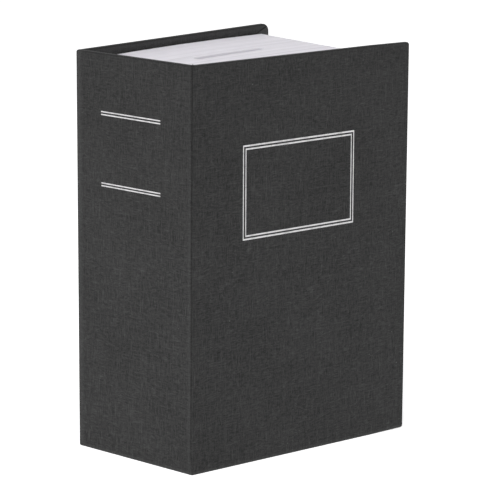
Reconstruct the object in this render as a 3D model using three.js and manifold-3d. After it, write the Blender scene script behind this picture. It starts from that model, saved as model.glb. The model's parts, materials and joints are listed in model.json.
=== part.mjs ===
// A small book diversion safe: a cloth-covered case of three boards round a moulded page block,
// which holds a steel strongbox with a hinged lid, a quarter-turn cam lock and a coin slot in its head.
// Millimetres. +X runs from the spine to the fore edge, +Y from the front cover to the back cover
// and +Z up the spine. The book stands on its tail with the front cover ajar.
import * as THREE from "three";
import { mergeVertices } from "three/addons/utils/BufferGeometryUtils.js";
import Module from "manifold-3d";

// Book case
const caseHeight = 115;
const caseWidth = 79.4;
const caseThickness = 45.1;
const clothThickness = 0.25;
const boardThickness = 1.15;
const paperThickness = 0.2;
const glueLine = 0.1;
const turnInWidth = 12;
const mitreSeam = 0.3;
const clothEdgeRadius = 0.6;
const paperMargin = 4;
const paperJointMargin = 1;
const jointClearance = 0.25;

// Travel of the cover and the lid, in degrees
const coverAjarAngle = 8.6;
const coverSwingAngle = 180;
const lidSwingAngle = 105;

// Page block
const headSquare = 2.6;
const foreSquare = 3.8;
const blockSeat = 0.3;
const coverRoom = 0.3;
const blockWall = 2;
const rimThickness = 2;
const rimWidth = 6;
const spineRimWidth = 3.5;
const draftAngle = 1.8;
const camber = 0.4;
const foreCornerRadius = 1.1;
const spineCornerRadius = 1;
const leastCornerRadius = 0.3;
const blockEdgeRadius = 0.8;
const windowCornerRadius = 3;
const collarThickness = 1.5;
const ribThickness = 1.5;
const ribInset = 10;
const ribEndGap = 3;
const coinSlotLength = 28.5;
const coinSlotWidth = 2.4;
const coinSlotOffset = 0.7;
const chuteWall = 1.5;

// Strongbox and lid
const steel = 1;
const boxOverhang = 1;
const boxCornerRadius = 3;
const lipWidth = 5;
const mouthCornerRadius = 2;
const lidRecess = 2.5;
const lidThickness = 1.2;
const lidRunningGap = 0.5;
const lidCornerRadius = 2;
const seatGap = 0.3;
const steelSlotMargin = 0.5;

// Lid hinge
const leafThickness = 0.7;
const pinRadius = 0.8;
const pinClearance = 0.2;
const hingeLength = 80;
const knuckleCount = 7;
const knuckleGap = 0.4;
const lidLeafWidth = 8;
const boxLeafWidth = 9;
const barrelClearance = 0.4;

// Cam lock
const barrelRadius = 6;
const barrelLength = 9;
const barrelFlatDepth = 0.8;
const bezelOverhang = 2;
const bezelThickness = 1.8;
const bezelBevel = 0.6;
const housingWall = 2.1;
const plugHeadStep = 0.8;
const plugHeadThickness = 1;
const lockClearance = 0.2;
const keywayWidth = 1.2;
const keywayHeight = 6.4;
const keywayDepth = 7;
const washerLand = 1.8;
const washerThickness = 0.6;
const nutWall = 1.25;
const nutThickness = 2.2;
const stopThickness = 0.8;
const stopLugWidth = 2;
const stopLugDepth = 1.2;
const squareSide = 4.6;
const camThickness = 1.5;
const camWidth = 7;
const camHubRadius = 5;
const camTipRadius = 1.5;
const camCatch = 3;
const camLipGap = 0.4;
const camNutGap = 0.5;
const lockTurnAngle = 90;
const screwRadius = 1.4;
const screwHeadRadius = 2.9;
const screwHeadHeight = 1.6;
const screwHeadBevel = 0.5;
const screwLength = 4.5;
const screwSlotWidth = 0.8;
const screwSlotDepth = 0.8;

// Sizes that follow from the ones above
const panel = boardThickness + 2 * (clothThickness + glueLine);
const innerCloth = panel - clothThickness;
const jointAxis = panel / 2;
const panelStart = 2 * jointAxis + jointClearance;
const coverLength = caseWidth - panelStart;
const edgeRadius = Math.min(clothEdgeRadius, 3 * clothThickness);

const blockFront = panel + glueLine + paperThickness + coverRoom;
const blockBack = caseThickness - panel - paperThickness - 2 * glueLine;
const draftSlope = Math.tan(THREE.MathUtils.degToRad(draftAngle));
const frontInset = (blockBack - blockFront) * draftSlope;
const blockSpine = panel + blockSeat;
const blockFore = caseWidth - foreSquare;
const cavityFront = blockFront + rimThickness;

const box = {
  x0: blockSpine + spineRimWidth,
  x1: blockFore - frontInset - rimWidth + boxOverhang,
  z0: headSquare + frontInset + rimWidth - boxOverhang,
  z1: caseHeight - headSquare - frontInset - rimWidth + boxOverhang,
};
const boreRadius = pinRadius + pinClearance;
const knuckleRadius = boreRadius + leafThickness;
const pinX = box.x0 + steel + glueLine + knuckleRadius;
const lidFront = blockFront + lidRecess;
const lidBack = lidFront + lidThickness;
const pinY = lidBack + glueLine + leafThickness - knuckleRadius;
const lipFront = lidBack + seatGap;
const lipBack = lipFront + steel;

const rimWindow = {
  x0: pinX - knuckleRadius - barrelClearance,
  x1: box.x1 - boxOverhang,
  z0: box.z0 + boxOverhang,
  z1: box.z1 - boxOverhang,
};
const lidEdge = {
  x0: pinX + knuckleRadius + pinClearance,
  x1: rimWindow.x1 - lidRunningGap,
  z0: rimWindow.z0 + lidRunningGap,
  z1: rimWindow.z1 - lidRunningGap,
};
const mouth = {
  x0: box.x0 + steel,
  x1: box.x1 - steel - lipWidth,
  z0: box.z0 + steel + lipWidth,
  z1: box.z1 - steel - lipWidth,
};
const slotX = (blockSpine + blockFore) / 2 + coinSlotOffset;
const slotY = (blockFront + blockBack) / 2;

const lockZ = caseHeight / 2;
const bezelRadius = barrelRadius + bezelOverhang;
const barrelFlat = barrelRadius - barrelFlatDepth;
const plugRadius = barrelRadius - housingWall;
const plugHeadRadius = plugRadius + plugHeadStep;
const bezelFront = lidFront - bezelThickness;
const barrelEnd = lidFront + barrelLength;
const stopFront = barrelEnd + glueLine;
const camHubFront = stopFront + stopThickness + glueLine;
const camHubBack = camHubFront + camThickness;
const camTipFront = lipBack + camLipGap;
const lidRestAngle = (coverAjarAngle * lidSwingAngle) / coverSwingAngle;

// The cam's riser clears the nut as it turns, and the lip with the lid shut or ajar.
const nutCorner = (barrelRadius + nutWall) / Math.cos(Math.PI / 6);
const riserInner = nutCorner + camNutGap;
const riserOuter = riserInner + camThickness;
const riserLean = (camHubBack - pinY) * Math.sin(THREE.MathUtils.degToRad(lidRestAngle));
const lockX = mouth.x1 - camLipGap - riserLean - Math.hypot(riserOuter, camWidth / 2);
const camReach = mouth.x1 - lockX + camCatch;
const past = 1;

// Materials
const cloth = { color: 0x3c3c3c, roughness: 0.85, metalness: 0 };
const greyboard = { color: 0x8f877a, roughness: 0.95, metalness: 0 };
const paper = { color: 0xe8e4da, roughness: 0.9, metalness: 0 };
const plastic = { color: 0xd8d5dc, roughness: 0.5, metalness: 0 };
const paintedSteel = { color: 0x2b2c2e, roughness: 0.55, metalness: 0.2 };
const plainSteel = { color: 0xb4b6b8, roughness: 0.35, metalness: 0.9 };
const chrome = { color: 0xd6d7d9, roughness: 0.15, metalness: 1 };

const wasm = await Module();
wasm.setup();

// Turns a closed geometry into a solid that can be cut and joined.
function solidOf(geometry) {
  const bare = geometry.clone();
  bare.deleteAttribute("normal");
  bare.deleteAttribute("uv");
  const merged = mergeVertices(bare, 1e-4);
  const all = merged.index.array;
  const kept = [];
  for (let i = 0; i < all.length; i += 3) {
    const [a, b, c] = [all[i], all[i + 1], all[i + 2]];
    if (a !== b && b !== c && c !== a) kept.push(a, b, c);
  }
  return new wasm.Manifold(
    new wasm.Mesh({
      numProp: 3,
      vertProperties: new Float32Array(merged.attributes.position.array),
      triVerts: new Uint32Array(kept),
    }),
  );
}

function geometryOf(solid) {
  const made = solid.getMesh();
  const geometry = new THREE.BufferGeometry();
  geometry.setAttribute("position", new THREE.BufferAttribute(made.vertProperties, 3));
  geometry.setIndex(new THREE.BufferAttribute(made.triVerts, 1));
  const faceted = geometry.toNonIndexed();
  faceted.computeVertexNormals();
  return faceted;
}

function piece(name, solid, finish) {
  const mesh = new THREE.Mesh(geometryOf(solid), new THREE.MeshStandardMaterial(finish));
  mesh.name = name;
  return mesh;
}

function union(solids) {
  return solids.reduce((whole, next) => whole.add(next));
}

function slab(x0, x1, y0, y1, z0, z1) {
  const geometry = new THREE.BoxGeometry(x1 - x0, y1 - y0, z1 - z0);
  return solidOf(geometry.translate((x0 + x1) / 2, (y0 + y1) / 2, (z0 + z1) / 2));
}

function extrusion(shape, depth, steps) {
  const settings = { depth, bevelEnabled: false, curveSegments: steps };
  return new THREE.ExtrudeGeometry(shape, settings);
}

// An outline in Y and Z, extruded along X.
function alongX(shape, x0, x1, steps = 8) {
  const geometry = extrusion(shape, x1 - x0, steps).rotateX(Math.PI / 2).rotateZ(Math.PI / 2);
  return solidOf(geometry.translate(x0, 0, 0));
}

// An outline in X and Z, extruded along Y.
function alongY(shape, y0, y1, steps = 8) {
  return solidOf(extrusion(shape, y1 - y0, steps).rotateX(Math.PI / 2).translate(0, y1, 0));
}

// An outline in X and Y, extruded along Z.
function alongZ(shape, z0, z1, steps = 8) {
  return solidOf(extrusion(shape, z1 - z0, steps).translate(0, 0, z0));
}

// A piece turned on a Y axis, from the radius and Y of each corner of its half section.
function turned(corners, steps = 32) {
  const profile = [...corners, corners[0]].map(([radius, y]) => new THREE.Vector2(radius, y));
  return solidOf(new THREE.LatheGeometry(profile, steps));
}

function roundedRectangle(x0, x1, y0, y1, radius) {
  const shape = new THREE.Shape();
  shape.absarc(x0 + radius, y0 + radius, radius, Math.PI, 1.5 * Math.PI);
  shape.absarc(x1 - radius, y0 + radius, radius, 1.5 * Math.PI, 2 * Math.PI);
  shape.absarc(x1 - radius, y1 - radius, radius, 0, 0.5 * Math.PI);
  shape.absarc(x0 + radius, y1 - radius, radius, 0.5 * Math.PI, Math.PI);
  return shape;
}

function frameOutline(edge, grow, radius) {
  return roundedRectangle(edge.x0 - grow, edge.x1 + grow, edge.z0 - grow, edge.z1 + grow, radius);
}

// Skins closed outlines of equal point count, each in X and Z at its own Y, from front to back.
function loft(rings) {
  const count = rings[0].points.length;
  const positions = rings.flatMap(({ y, points }) => points.flatMap((p) => [p.x, y, p.y]));
  const index = [];
  for (let ring = 0; ring < rings.length - 1; ring++) {
    for (let k = 0; k < count; k++) {
      const a = ring * count + k;
      const b = ring * count + ((k + 1) % count);
      index.push(a, a + count, b + count, a, b + count, b);
    }
  }
  const last = (rings.length - 1) * count;
  for (const [a, b, c] of THREE.ShapeUtils.triangulateShape(rings[0].points, [])) {
    index.push(a, b, c);
  }
  for (const [a, b, c] of THREE.ShapeUtils.triangulateShape(rings.at(-1).points, [])) {
    index.push(last + a, last + c, last + b);
  }
  const geometry = new THREE.BufferGeometry();
  geometry.setAttribute("position", new THREE.Float32BufferAttribute(positions, 3));
  geometry.setIndex(index);
  return solidOf(geometry);
}

// The open line where two turn-ins meet at a corner of the fore edge, cut through the inner cloth.
function mitre(length, atHead) {
  const run = (turnInWidth - edgeRadius) * Math.SQRT2;
  const middle = (turnInWidth + edgeRadius) / 2;
  const seam = new THREE.BoxGeometry(run, clothThickness + past, mitreSeam);
  seam.rotateY(atHead ? -Math.PI / 4 : Math.PI / 4);
  const z = atHead ? caseHeight - middle : middle;
  seam.translate(length - middle, innerCloth + (clothThickness + past) / 2, z);
  return solidOf(seam);
}

// The cloth round one cover board, from the joint at x = 0 to the edge, its outer face at y = 0:
// the face, the folds over three edges and the mitred turn-ins on the inner side.
function coverCloth(length) {
  const plan = new THREE.Shape();
  plan.moveTo(0, 0);
  plan.lineTo(length - edgeRadius, 0);
  plan.absarc(length - edgeRadius, edgeRadius, edgeRadius, 1.5 * Math.PI, 2 * Math.PI);
  plan.absarc(length - edgeRadius, panel - edgeRadius, edgeRadius, 0, 0.5 * Math.PI);
  plan.lineTo(0, panel);
  const side = roundedRectangle(0, panel, 0, caseHeight, edgeRadius);
  const face = roundedRectangle(-past, length, 0, caseHeight, edgeRadius);
  const outer = alongZ(plan, 0, caseHeight, 4)
    .intersect(alongX(side, 0, length, 4))
    .intersect(alongY(face, -past, panel + past, 4));
  const low = clothThickness;
  const high = caseHeight - clothThickness;
  const pocket = slab(-past, length - clothThickness, clothThickness, innerCloth, low, high);
  const window = slab(
    -past,
    length - turnInWidth,
    clothThickness,
    panel + past,
    turnInWidth,
    caseHeight - turnInWidth,
  );
  return outer
    .subtract(pocket)
    .subtract(window)
    .subtract(mitre(length, false))
    .subtract(mitre(length, true));
}

// The board inside that cloth.
function coverBoard(length) {
  const margin = clothThickness + glueLine;
  return slab(0, length - margin, margin, panel - margin, margin, caseHeight - margin);
}

// The sheet pasted on the inner side of a cover, inside its edges.
function pastedown(length) {
  const y0 = panel + glueLine;
  const x1 = length - paperMargin;
  return slab(paperJointMargin, x1, y0, y0 + paperThickness, paperMargin, caseHeight - paperMargin);
}

// The cloth round the spine board, with the rounded joints on both sides of it.
function spineCloth() {
  const far = caseThickness - jointAxis;
  const innerRadius = jointAxis - clothThickness;
  const backEdge = panelStart - glueLine;
  const sweep = jointAxis + jointClearance - glueLine;
  const frontEdge = jointAxis + Math.sqrt(sweep ** 2 - jointAxis ** 2);
  const plan = new THREE.Shape();
  plan.moveTo(frontEdge, 0);
  plan.lineTo(jointAxis, 0);
  plan.absarc(jointAxis, jointAxis, jointAxis, 1.5 * Math.PI, Math.PI, true);
  plan.absarc(jointAxis, far, jointAxis, Math.PI, 0.5 * Math.PI, true);
  plan.lineTo(backEdge, caseThickness);
  plan.lineTo(backEdge, caseThickness - clothThickness);
  plan.absarc(jointAxis, far, innerRadius, 0.5 * Math.PI, Math.PI);
  plan.absarc(jointAxis, jointAxis, innerRadius, Math.PI, 1.5 * Math.PI);
  plan.lineTo(frontEdge, clothThickness);

  const y0 = panelStart;
  const y1 = caseThickness - panelStart;
  const low = clothThickness;
  const high = caseHeight - clothThickness;
  const folds = slab(0, panel, y0, y1, 0, caseHeight)
    .subtract(slab(clothThickness, innerCloth, y0 - past, y1 + past, low, high))
    .subtract(
      slab(
        clothThickness,
        panel + past,
        y0 - past,
        y1 + past,
        turnInWidth,
        caseHeight - turnInWidth,
      ),
    );
  const side = roundedRectangle(0, 2 * panelStart, 0, caseHeight, edgeRadius);
  return alongZ(plan, 0, caseHeight, 6)
    .add(folds)
    .intersect(alongY(side, -past, caseThickness + past, 4));
}

function spineBoard() {
  const margin = clothThickness + glueLine;
  return slab(
    margin,
    panel - margin,
    panelStart,
    caseThickness - panelStart,
    margin,
    caseHeight - margin,
  );
}

// The page block's outline at one depth, drawn in by the mould's draft and by a further amount.
function blockOutline(y, drawnIn) {
  const drift = (blockBack - y) * draftSlope + drawnIn;
  const x0 = blockSpine + drawnIn;
  const x1 = blockFore - drift;
  const z0 = headSquare + drift;
  const z1 = caseHeight - z0;
  const middle = (x0 + x1) / 2;
  const fore = Math.max(foreCornerRadius - drawnIn, leastCornerRadius);
  const spine = Math.max(spineCornerRadius - drawnIn, leastCornerRadius);
  const shape = new THREE.Shape();
  shape.absarc(x0 + spine, z0 + spine, spine, Math.PI, 1.5 * Math.PI);
  shape.quadraticCurveTo(middle, z0 - 2 * camber, x1 - fore, z0);
  shape.absarc(x1 - fore, z0 + fore, fore, 1.5 * Math.PI, 2 * Math.PI);
  shape.absarc(x1 - fore, z1 - fore, fore, 0, 0.5 * Math.PI);
  shape.quadraticCurveTo(middle, z1 + 2 * camber, x0 + spine, z1);
  shape.absarc(x0 + spine, z1 - spine, spine, 0.5 * Math.PI, Math.PI);
  const points = shape.getPoints(4).filter((p, k, all) => p.distanceTo(all.at(k - 1)) > 1e-6);
  return { y, points };
}

// The page block's outer body, solid, with its front and back edges rounded.
function blockBody() {
  const steps = 3;
  const rings = [];
  for (let k = 0; k <= steps; k++) {
    const turn = (k / steps) * (Math.PI / 2);
    const y = blockFront + blockEdgeRadius * (1 - Math.cos(turn));
    rings.push(blockOutline(y, blockEdgeRadius * (1 - Math.sin(turn))));
  }
  for (let k = 0; k <= steps; k++) {
    const turn = (k / steps) * (Math.PI / 2);
    const y = blockBack - blockEdgeRadius * (1 - Math.sin(turn));
    rings.push(blockOutline(y, blockEdgeRadius * (1 - Math.cos(turn))));
  }
  return loft(rings);
}

// The ribs inside the page block that hold the strongbox at its head, tail and fore edge.
function blockRibs() {
  const y1 = blockBack - ribEndGap;
  const half = ribThickness / 2;
  const ribs = [];
  for (const x of [box.x0 + ribInset, box.x1 - ribInset]) {
    ribs.push(slab(x - half, x + half, cavityFront - past, y1, -past, box.z0 - seatGap));
    ribs.push(slab(x - half, x + half, cavityFront - past, y1, box.z1 + seatGap, caseHeight));
  }
  for (const z of [box.z0 + ribInset, lockZ, box.z1 - ribInset]) {
    ribs.push(slab(box.x1 + seatGap, caseWidth, cavityFront - past, y1, z - half, z + half));
  }
  return union(ribs);
}

function coinSlot(margin, z0) {
  const halfLength = coinSlotLength / 2 + margin;
  const halfWidth = coinSlotWidth / 2 + margin;
  return slab(
    slotX - halfLength,
    slotX + halfLength,
    slotY - halfWidth,
    slotY + halfWidth,
    z0,
    caseHeight + past,
  );
}

// The moulding that looks like the pages: a tub open at the back, with a window in its front rim,
// a collar round the window that seats on the strongbox, and a chute under the coin slot.
function pageBlock() {
  const body = blockBody();
  const cavity = loft([
    blockOutline(cavityFront, blockWall),
    blockOutline(blockBack + past, blockWall),
  ]);
  const window = frameOutline(rimWindow, 0, windowCornerRadius);
  const collarOutline = frameOutline(
    rimWindow,
    collarThickness,
    windowCornerRadius + collarThickness,
  );
  const collar = alongY(collarOutline, cavityFront - past, lipFront - seatGap);
  const inside = union([collar, blockRibs(), coinSlot(chuteWall, box.z1 + seatGap)]);
  return body
    .subtract(cavity)
    .add(inside.intersect(body))
    .subtract(alongY(window, blockFront - past, lipFront + past))
    .subtract(coinSlot(0, box.z1 - past));
}

// The steel box: a floor, four walls, a lip turned in round three sides of the mouth and a slot.
function strongbox() {
  const innerRadius = boxCornerRadius - steel;
  const outer = alongY(frameOutline(box, 0, boxCornerRadius), lipFront, blockBack);
  const hollow = alongY(frameOutline(box, -steel, innerRadius), lipBack, blockBack - steel);
  const opening = alongY(frameOutline(mouth, 0, mouthCornerRadius), lipFront - past, lipBack + past);
  return outer
    .subtract(hollow)
    .subtract(opening)
    .subtract(coinSlot(steelSlotMargin, box.z1 - steel - past));
}

// A round hole or shaft with two flats, in X and Z.
function doubleFlat(radius, flat) {
  const corner = Math.acos(flat / radius);
  const shape = new THREE.Shape();
  shape.absarc(0, 0, radius, corner, Math.PI - corner);
  shape.absarc(0, 0, radius, Math.PI + corner, 2 * Math.PI - corner);
  return shape;
}

function lidPlate() {
  const hole = doubleFlat(barrelRadius + lockClearance, barrelFlat + lockClearance);
  const points = hole.getPoints(12).map((p) => new THREE.Vector2(p.x + lockX, p.y + lockZ));
  return alongY(frameOutline(lidEdge, 0, lidCornerRadius), lidFront, lidBack).subtract(
    alongY(new THREE.Shape(points), lidFront - past, lidBack + past),
  );
}

// One leaf of the hinge about a pin on the Z axis, drawn as the lid's: a plate tangent to the
// barrel on its +Y side, with every second knuckle rolled from its edge.
function hingeLeaf(width, firstKnuckle) {
  const z0 = lockZ - hingeLength / 2;
  const plateEdge = knuckleRadius + knuckleGap;
  const tangent = Math.asin(boreRadius / knuckleRadius);
  const roll = new THREE.Shape();
  roll.moveTo(plateEdge + past, knuckleRadius);
  roll.lineTo(0, knuckleRadius);
  roll.absarc(0, 0, knuckleRadius, 0.5 * Math.PI, 2 * Math.PI + tangent);
  roll.lineTo(plateEdge + past, boreRadius);
  roll.holes.push(new THREE.Path().absarc(0, 0, boreRadius, 0, 2 * Math.PI));
  const pitch = hingeLength / knuckleCount;
  let leaf = slab(plateEdge, width, boreRadius, knuckleRadius, z0, z0 + hingeLength);
  for (let k = firstKnuckle; k < knuckleCount; k += 2) {
    const low = z0 + k * pitch + knuckleGap / 2;
    leaf = leaf.add(alongZ(roll, low, low + pitch - knuckleGap, 10));
  }
  return leaf;
}

function hingePin() {
  const pin = new THREE.CylinderGeometry(pinRadius, pinRadius, hingeLength, 20);
  return solidOf(pin.rotateX(Math.PI / 2).translate(0, 0, lockZ));
}

// The lock's pieces are drawn about its own axis, at their depth in the book with the lid shut.
function lockHousing() {
  const bore = plugRadius + lockClearance;
  const mouthRadius = plugHeadRadius + lockClearance;
  const seat = bezelFront + lockClearance + plugHeadThickness + lockClearance;
  const shoulder = lidFront - glueLine;
  const body = turned([
    [mouthRadius, bezelFront],
    [bezelRadius - bezelBevel, bezelFront],
    [bezelRadius, bezelFront + bezelBevel],
    [bezelRadius, shoulder],
    [barrelRadius, shoulder],
    [barrelRadius, barrelEnd],
    [bore, barrelEnd],
    [bore, seat],
    [mouthRadius, seat],
  ]);
  const wide = 2 * barrelRadius;
  const lug = slab(
    -stopLugWidth / 2,
    stopLugWidth / 2,
    barrelEnd - past,
    stopFront + stopThickness,
    barrelRadius - stopLugDepth,
    barrelRadius - lockClearance,
  );
  return body
    .subtract(slab(barrelFlat, wide, shoulder, barrelEnd + past, -wide, wide))
    .subtract(slab(-wide, -barrelFlat, shoulder, barrelEnd + past, -wide, wide))
    .add(lug);
}

function lockWasher() {
  const y0 = lidBack + glueLine;
  const bore = barrelRadius + lockClearance;
  return turned([
    [bore, y0],
    [bore + washerLand, y0],
    [bore + washerLand, y0 + washerThickness],
    [bore, y0 + washerThickness],
  ]);
}

function lockNut() {
  const y0 = lidBack + washerThickness + 2 * glueLine;
  const hexagon = new THREE.CylinderGeometry(nutCorner, nutCorner, nutThickness, 6);
  const bore = barrelRadius + lockClearance;
  const hole = turned([
    [0, y0 - past],
    [bore, y0 - past],
    [bore, y0 + nutThickness + past],
    [0, y0 + nutThickness + past],
  ]);
  return solidOf(hexagon.translate(0, y0 + nutThickness / 2, 0)).subtract(hole);
}

function squareBar(side, y0, y1) {
  return slab(-side / 2, side / 2, y0, y1, -side / 2, side / 2);
}

function lockPlug() {
  const front = bezelFront + lockClearance;
  const head = front + plugHeadThickness;
  const body = turned([
    [0, front],
    [plugHeadRadius, front],
    [plugHeadRadius, head],
    [plugRadius, head],
    [plugRadius, barrelEnd],
    [0, barrelEnd],
  ]);
  const keyway = slab(
    -keywayWidth / 2,
    keywayWidth / 2,
    front - past,
    front + keywayDepth,
    -keywayHeight / 2,
    keywayHeight / 2,
  );
  const screwHole = screwRadius + glueLine;
  const tapped = turned([
    [0, camHubBack - screwLength - glueLine],
    [screwHole, camHubBack - screwLength - glueLine],
    [screwHole, camHubBack + past],
    [0, camHubBack + past],
  ]);
  return body
    .add(squareBar(squareSide, barrelEnd - past, camHubBack))
    .subtract(keyway)
    .subtract(tapped);
}

// The washer on the plug whose cut-out runs against the housing's lug and limits the turn.
function stopWasher() {
  const inner = barrelRadius - stopLugDepth - lockClearance;
  const spread = Math.asin((stopLugWidth / 2 + lockClearance) / inner);
  const turn = THREE.MathUtils.degToRad(lockTurnAngle);
  const from = Math.PI / 2 - turn - spread;
  const to = Math.PI / 2 + spread;
  const sector = new THREE.Shape();
  sector.absarc(0, 0, inner, from, to);
  sector.absarc(0, 0, 2 * barrelRadius, to, from, true);
  const y1 = stopFront + stopThickness;
  const disc = turned([
    [0, stopFront],
    [barrelRadius, stopFront],
    [barrelRadius, y1],
    [0, y1],
  ]);
  return disc
    .subtract(alongY(sector, stopFront - past, y1 + past))
    .subtract(squareBar(squareSide + 2 * lockClearance, stopFront - past, y1 + past));
}

// The cam: a strip on the plug's square that steps forward beside the nut and reaches past the lip.
// It points down when unlocked.
function lockCam() {
  const tipBack = camTipFront + camThickness;
  const side = new THREE.Shape();
  side.moveTo(camHubFront, camHubRadius);
  side.lineTo(camHubFront, -riserInner);
  side.lineTo(camTipFront, -riserInner);
  side.lineTo(camTipFront, -camReach);
  side.lineTo(tipBack, -camReach);
  side.lineTo(tipBack, -riserOuter);
  side.lineTo(camHubBack, -riserOuter);
  side.lineTo(camHubBack, camHubRadius);
  const hub = new THREE.Shape().absarc(0, 0, camHubRadius, 0, 2 * Math.PI);
  const arm = roundedRectangle(-camWidth / 2, camWidth / 2, -camReach, 0, camTipRadius);
  const y0 = camTipFront - past;
  const y1 = camHubBack + past;
  return alongX(side, -camHubRadius - past, camHubRadius + past)
    .intersect(alongY(hub, y0, y1, 12).add(alongY(arm, y0, y1, 4)))
    .subtract(squareBar(squareSide + 2 * lockClearance, y0, y1));
}

function camScrew() {
  const y0 = camHubBack + glueLine;
  const y1 = y0 + screwHeadHeight;
  const body = turned(
    [
      [0, y0 - screwLength],
      [screwRadius, y0 - screwLength],
      [screwRadius, y0],
      [screwHeadRadius, y0],
      [screwHeadRadius, y1 - screwHeadBevel],
      [screwHeadRadius - screwHeadBevel, y1],
      [0, y1],
    ],
    24,
  );
  const half = screwSlotWidth / 2;
  return body.subtract(slab(-half, half, y1 - screwSlotDepth, y1 + past, -barrelRadius, barrelRadius));
}

function placed(mesh, x, y, z, turn = new THREE.Euler()) {
  mesh.position.set(x, y, z);
  mesh.rotation.copy(turn);
  return mesh;
}

// Holds pieces that are drawn shut, and swings them open about a vertical axis.
function hinged(x, y, degrees, pieces) {
  const pivot = new THREE.Group();
  const held = new THREE.Group();
  pivot.position.set(x, y, 0);
  pivot.rotation.z = -THREE.MathUtils.degToRad(degrees);
  held.position.set(-x, -y, 0);
  held.add(...pieces);
  pivot.add(held);
  return pivot;
}

function frontCover() {
  return hinged(jointAxis, jointAxis, coverAjarAngle, [
    placed(piece("front_covering", coverCloth(coverLength), cloth), panelStart, 0, 0),
    placed(piece("front_board", coverBoard(coverLength), greyboard), panelStart, 0, 0),
    placed(piece("front_endpaper", pastedown(coverLength), paper), panelStart, 0, 0),
  ]);
}

function caseBack() {
  const over = new THREE.Euler(Math.PI, 0, 0);
  const back = [
    piece("back_covering", coverCloth(coverLength), cloth),
    piece("back_board", coverBoard(coverLength), greyboard),
    piece("back_endpaper", pastedown(coverLength), paper),
  ];
  const group = new THREE.Group();
  group.add(...back.map((mesh) => placed(mesh, panelStart, caseThickness, caseHeight, over)));
  group.add(piece("spine_covering", spineCloth(), cloth));
  group.add(piece("spine_board", spineBoard(), greyboard));
  return group;
}

function lidAssembly() {
  const lock = [
    piece("lock_housing", lockHousing(), chrome),
    piece("lock_washer", lockWasher(), plainSteel),
    piece("lock_nut", lockNut(), plainSteel),
    piece("lock_plug", lockPlug(), chrome),
    piece("cam_stop_washer", stopWasher(), plainSteel),
    piece("lock_cam", lockCam(), plainSteel),
    piece("cam_screw", camScrew(), plainSteel),
  ];
  return hinged(pinX, pinY, lidRestAngle, [
    piece("lid", lidPlate(), paintedSteel),
    placed(piece("lid_hinge_leaf", hingeLeaf(lidLeafWidth, 1), plainSteel), pinX, pinY, 0),
    ...lock.map((mesh) => placed(mesh, lockX, 0, lockZ)),
  ]);
}

function safe() {
  const group = new THREE.Group();
  const quarter = new THREE.Euler(0, 0, Math.PI / 2);
  group.add(caseBack(), frontCover(), lidAssembly());
  group.add(piece("page_block", pageBlock(), plastic));
  group.add(piece("strongbox", strongbox(), paintedSteel));
  group.add(
    placed(piece("box_hinge_leaf", hingeLeaf(boxLeafWidth, 0), plainSteel), pinX, pinY, 0, quarter),
  );
  group.add(placed(piece("hinge_pin", hingePin(), plainSteel), pinX, pinY, 0));
  return group;
}

// The origin is the middle of the foot of the standing book, as it is with its cover ajar.
const book = safe();
const extent = new THREE.Box3().setFromObject(book, true);
const middle = extent.getCenter(new THREE.Vector3());
book.position.set(-middle.x, -middle.y, -extent.min.z);

const root = new THREE.Group();
root.add(book);
export default root;
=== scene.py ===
"""Dresses the book safe: book cloth, foil rules, pages, papers, steel box, lid and cam lock."""
import json
import math

import bmesh
import bpy
from bpy.props import FloatProperty, FloatVectorProperty, PointerProperty
from bpy.types import Operator, Panel, PropertyGroup
from mathutils import Matrix, Vector

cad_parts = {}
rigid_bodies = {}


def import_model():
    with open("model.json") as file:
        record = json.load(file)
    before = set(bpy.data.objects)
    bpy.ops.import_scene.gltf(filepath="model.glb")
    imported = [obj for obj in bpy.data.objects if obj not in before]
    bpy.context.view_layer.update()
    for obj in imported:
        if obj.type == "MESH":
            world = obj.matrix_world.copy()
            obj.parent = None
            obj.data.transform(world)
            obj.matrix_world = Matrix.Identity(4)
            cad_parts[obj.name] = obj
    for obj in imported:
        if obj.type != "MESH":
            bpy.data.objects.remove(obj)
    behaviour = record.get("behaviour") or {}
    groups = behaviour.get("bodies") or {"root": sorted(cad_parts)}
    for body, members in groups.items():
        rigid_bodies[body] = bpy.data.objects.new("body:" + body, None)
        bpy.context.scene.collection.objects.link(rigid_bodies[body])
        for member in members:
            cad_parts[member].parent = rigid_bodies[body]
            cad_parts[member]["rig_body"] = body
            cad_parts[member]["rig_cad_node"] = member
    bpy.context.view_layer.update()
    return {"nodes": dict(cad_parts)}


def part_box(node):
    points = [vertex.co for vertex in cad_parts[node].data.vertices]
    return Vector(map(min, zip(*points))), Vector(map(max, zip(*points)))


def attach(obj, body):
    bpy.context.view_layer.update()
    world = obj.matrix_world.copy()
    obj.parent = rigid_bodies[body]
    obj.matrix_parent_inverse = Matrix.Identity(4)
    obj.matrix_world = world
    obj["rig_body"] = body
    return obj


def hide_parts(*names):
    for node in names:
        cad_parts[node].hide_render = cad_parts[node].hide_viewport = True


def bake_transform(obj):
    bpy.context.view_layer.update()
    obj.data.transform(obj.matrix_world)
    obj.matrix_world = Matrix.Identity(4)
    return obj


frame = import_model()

bl_info = {
    "name": "Book safe",
    "version": (1, 0, 0),
    "blender": (4, 5, 0),
    "location": "View3D > Sidebar > Book safe",
    "description": "Builds the looks of a small book diversion safe round its solid model",
    "category": "Object",
}

MM = 0.001

# Sizes that the solid model fixes, in mm. A panel is a board with its cloth.
CASE_HEIGHT = 115.0
CASE_WIDTH = 79.4
CASE_THICKNESS = 45.1
PANEL = 1.85
HINGE = PANEL / 2
COVER_RUN = CASE_WIDTH - HINGE
AJAR = math.radians(8.6)
FOLD_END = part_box("back_covering")[1]
BOOK_X = FOLD_END.x / MM - CASE_WIDTH
BOOK_Y = FOLD_END.y / MM - CASE_THICKNESS

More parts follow.
